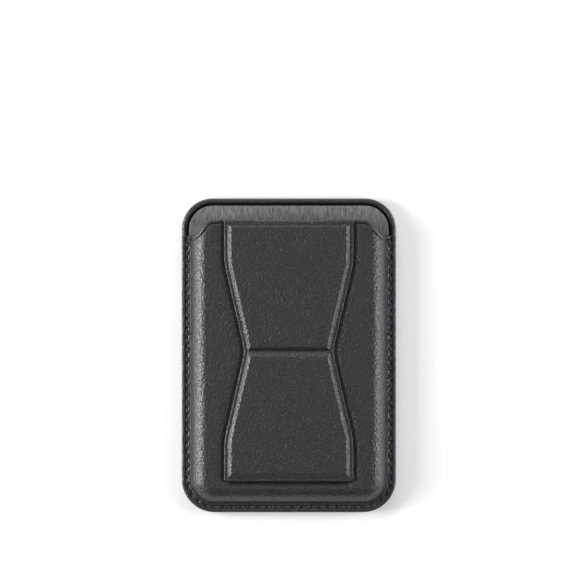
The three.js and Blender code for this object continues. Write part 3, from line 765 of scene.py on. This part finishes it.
section = densify(wrap_section(), longest_side)
from_side = spaced(0.0, (0.06 * mm, 1), (wrap_side_round, 2), (1.1 * mm, 4), (8.5 * mm, 16), (relief_half, 8),
                   (stand_half, 24))
wrap_xs = np.concatenate([-stand_half + from_side[:-1], [0.0], stand_half - from_side[-2::-1]])
vertices, faces = [], []
for x in wrap_xs:
    relief = relief_depth * (1 - smooth_step((abs(x) - relief_half + relief_fade / 2) / relief_fade))
    soft = wrap_side_drop * roll_off((stand_half - abs(x)) / wrap_side_round)
    for y, z in section:
        pressed = relief * smooth_step((y - mouth_y + relief_reach) / relief_reach)
        vertices.append((x, y - pressed, z - soft if z > (edge_top + stand_back) / 2 else z))
count = len(section)
for i in range(len(wrap_xs) - 1):
    for j in range(count):
        a, b = i * count + j, i * count + (j + 1) % count
        faces.append((a, b, b + count, a + count))
faces.append(tuple(range(count))[::-1])
faces.append(tuple(range((len(wrap_xs) - 1) * count, len(wrap_xs) * count)))
wrap = make_piece("mouth_wrap_leather", vertices, faces, face_leather, None, "black_leather", sharp=60)
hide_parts("stand_wrap")
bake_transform(wrap)

# Table: a plain pale sheet under the wallet, as in a product shot.
# It is lit like any matt white card, and looks white in the picture itself.
table_half, table_gap = 8.0, 0.05 * mm


def pale_sheet(name, tint):
    """Matt white card. Camera and mirror rays see it a little brighter, more so further off, so it looks
    evenly white; it lights the wallet as plain card does, and keeps the wallet's shadow."""
    material, shader = new_material(name)
    path = add_node(material, "ShaderNodeLightPath", {})
    seen = add_node(material, "ShaderNodeMath",
                    {0: path.outputs["Is Camera Ray"], 1: path.outputs["Is Glossy Ray"]}, operation="MAXIMUM")
    seen = add_node(material, "ShaderNodeMath",
                    {0: seen.outputs["Value"], 1: path.outputs["Is Transmission Ray"]}, operation="MAXIMUM")
    place = add_node(material, "ShaderNodeTexCoord", {}).outputs["Object"]
    away = add_node(material, "ShaderNodeVectorMath", {0: place}, operation="LENGTH")
    lift = add_node(material, "ShaderNodeMapRange", {
        "Value": away.outputs["Value"],
        "From Min": 0.15,
        "From Max": 1.6,
        "To Min": 0.16,
        "To Max": 0.7,
    })
    glow = add_node(material, "ShaderNodeMath", {0: seen.outputs["Value"], 1: lift.outputs["Result"]},
                    operation="MULTIPLY")
    feed(material, shader, {
        "Base Color": linear(tint),
        "Roughness": 0.9,
        "Emission Color": linear("#ffffff"),
        "Emission Strength": glow.outputs["Value"],
    })
    return material


corners = [(-table_half, -table_half, 0), (table_half, -table_half, 0), (table_half, table_half, 0),
           (-table_half, table_half, 0)]
floor_mesh = bpy.data.meshes.new("table")
floor_mesh.from_pydata(corners, [], [(0, 1, 2, 3)])
floor_mesh.materials.append(pale_sheet("matt_card", "#f4f4f4"))
floor = bpy.data.objects.new("table", floor_mesh)
floor.location.z = -table_gap
bpy.context.scene.collection.objects.link(floor)

# Lamps: a softbox low on the left, a weaker one on the right, a soft one past the mouth and one overhead.
# A grey surround fills the shadows. Each lamp has its place, its size in metres and its power in watts.
lamps = {
    "left_softbox": ((-0.64, 0.02, 0.3), (0.34, 0.34), 6.2),
    "right_softbox": ((0.64, 0.02, 0.3), (0.34, 0.34), 3.3),
    "top_softbox": ((0.0, 0.66, 0.36), (0.5, 0.25), 1.6),
    "overhead_softbox": ((-0.4, 0.14, 1.5), (0.5, 0.5), 0.9),
}
for name, (place, size, power) in lamps.items():
    light = bpy.data.lights.new(name, "AREA")
    light.shape = "RECTANGLE"
    light.size, light.size_y = size
    light.energy = power
    lamp = bpy.data.objects.new(name, light)
    lamp.location = place
    lamp.rotation_euler = (lamp.location * -1).to_track_quat("-Z", "Y").to_euler()
    bpy.context.scene.collection.objects.link(lamp)

world = bpy.data.worlds.new("grey_surround")
world.use_nodes = True
world.node_tree.nodes["Background"].inputs["Color"].default_value = linear("#ffffff")
world.node_tree.nodes["Background"].inputs["Strength"].default_value = 0.2
bpy.context.scene.world = world

# Camera: straight above the front face, as a product is shot on a copy stand.
# Its frame is 175.5 mm wide at the height of the face, centred a little above and right of the wallet.
field_across = 175.5 * mm
camera_height = 1500 * mm
aim_x, aim_y = 1.1 * mm, 18.9 * mm
camera_data = bpy.data.cameras.new("camera")
camera_data.sensor_fit = "HORIZONTAL"
camera_data.sensor_width = 36
camera_data.lens = camera_data.sensor_width * (camera_height - face_top) / field_across
camera = bpy.data.objects.new("camera", camera_data)
camera.location = (aim_x, aim_y, camera_height)
bpy.context.scene.collection.objects.link(camera)
bpy.context.scene.camera = camera
bpy.context.scene.view_settings.view_transform = "Standard"
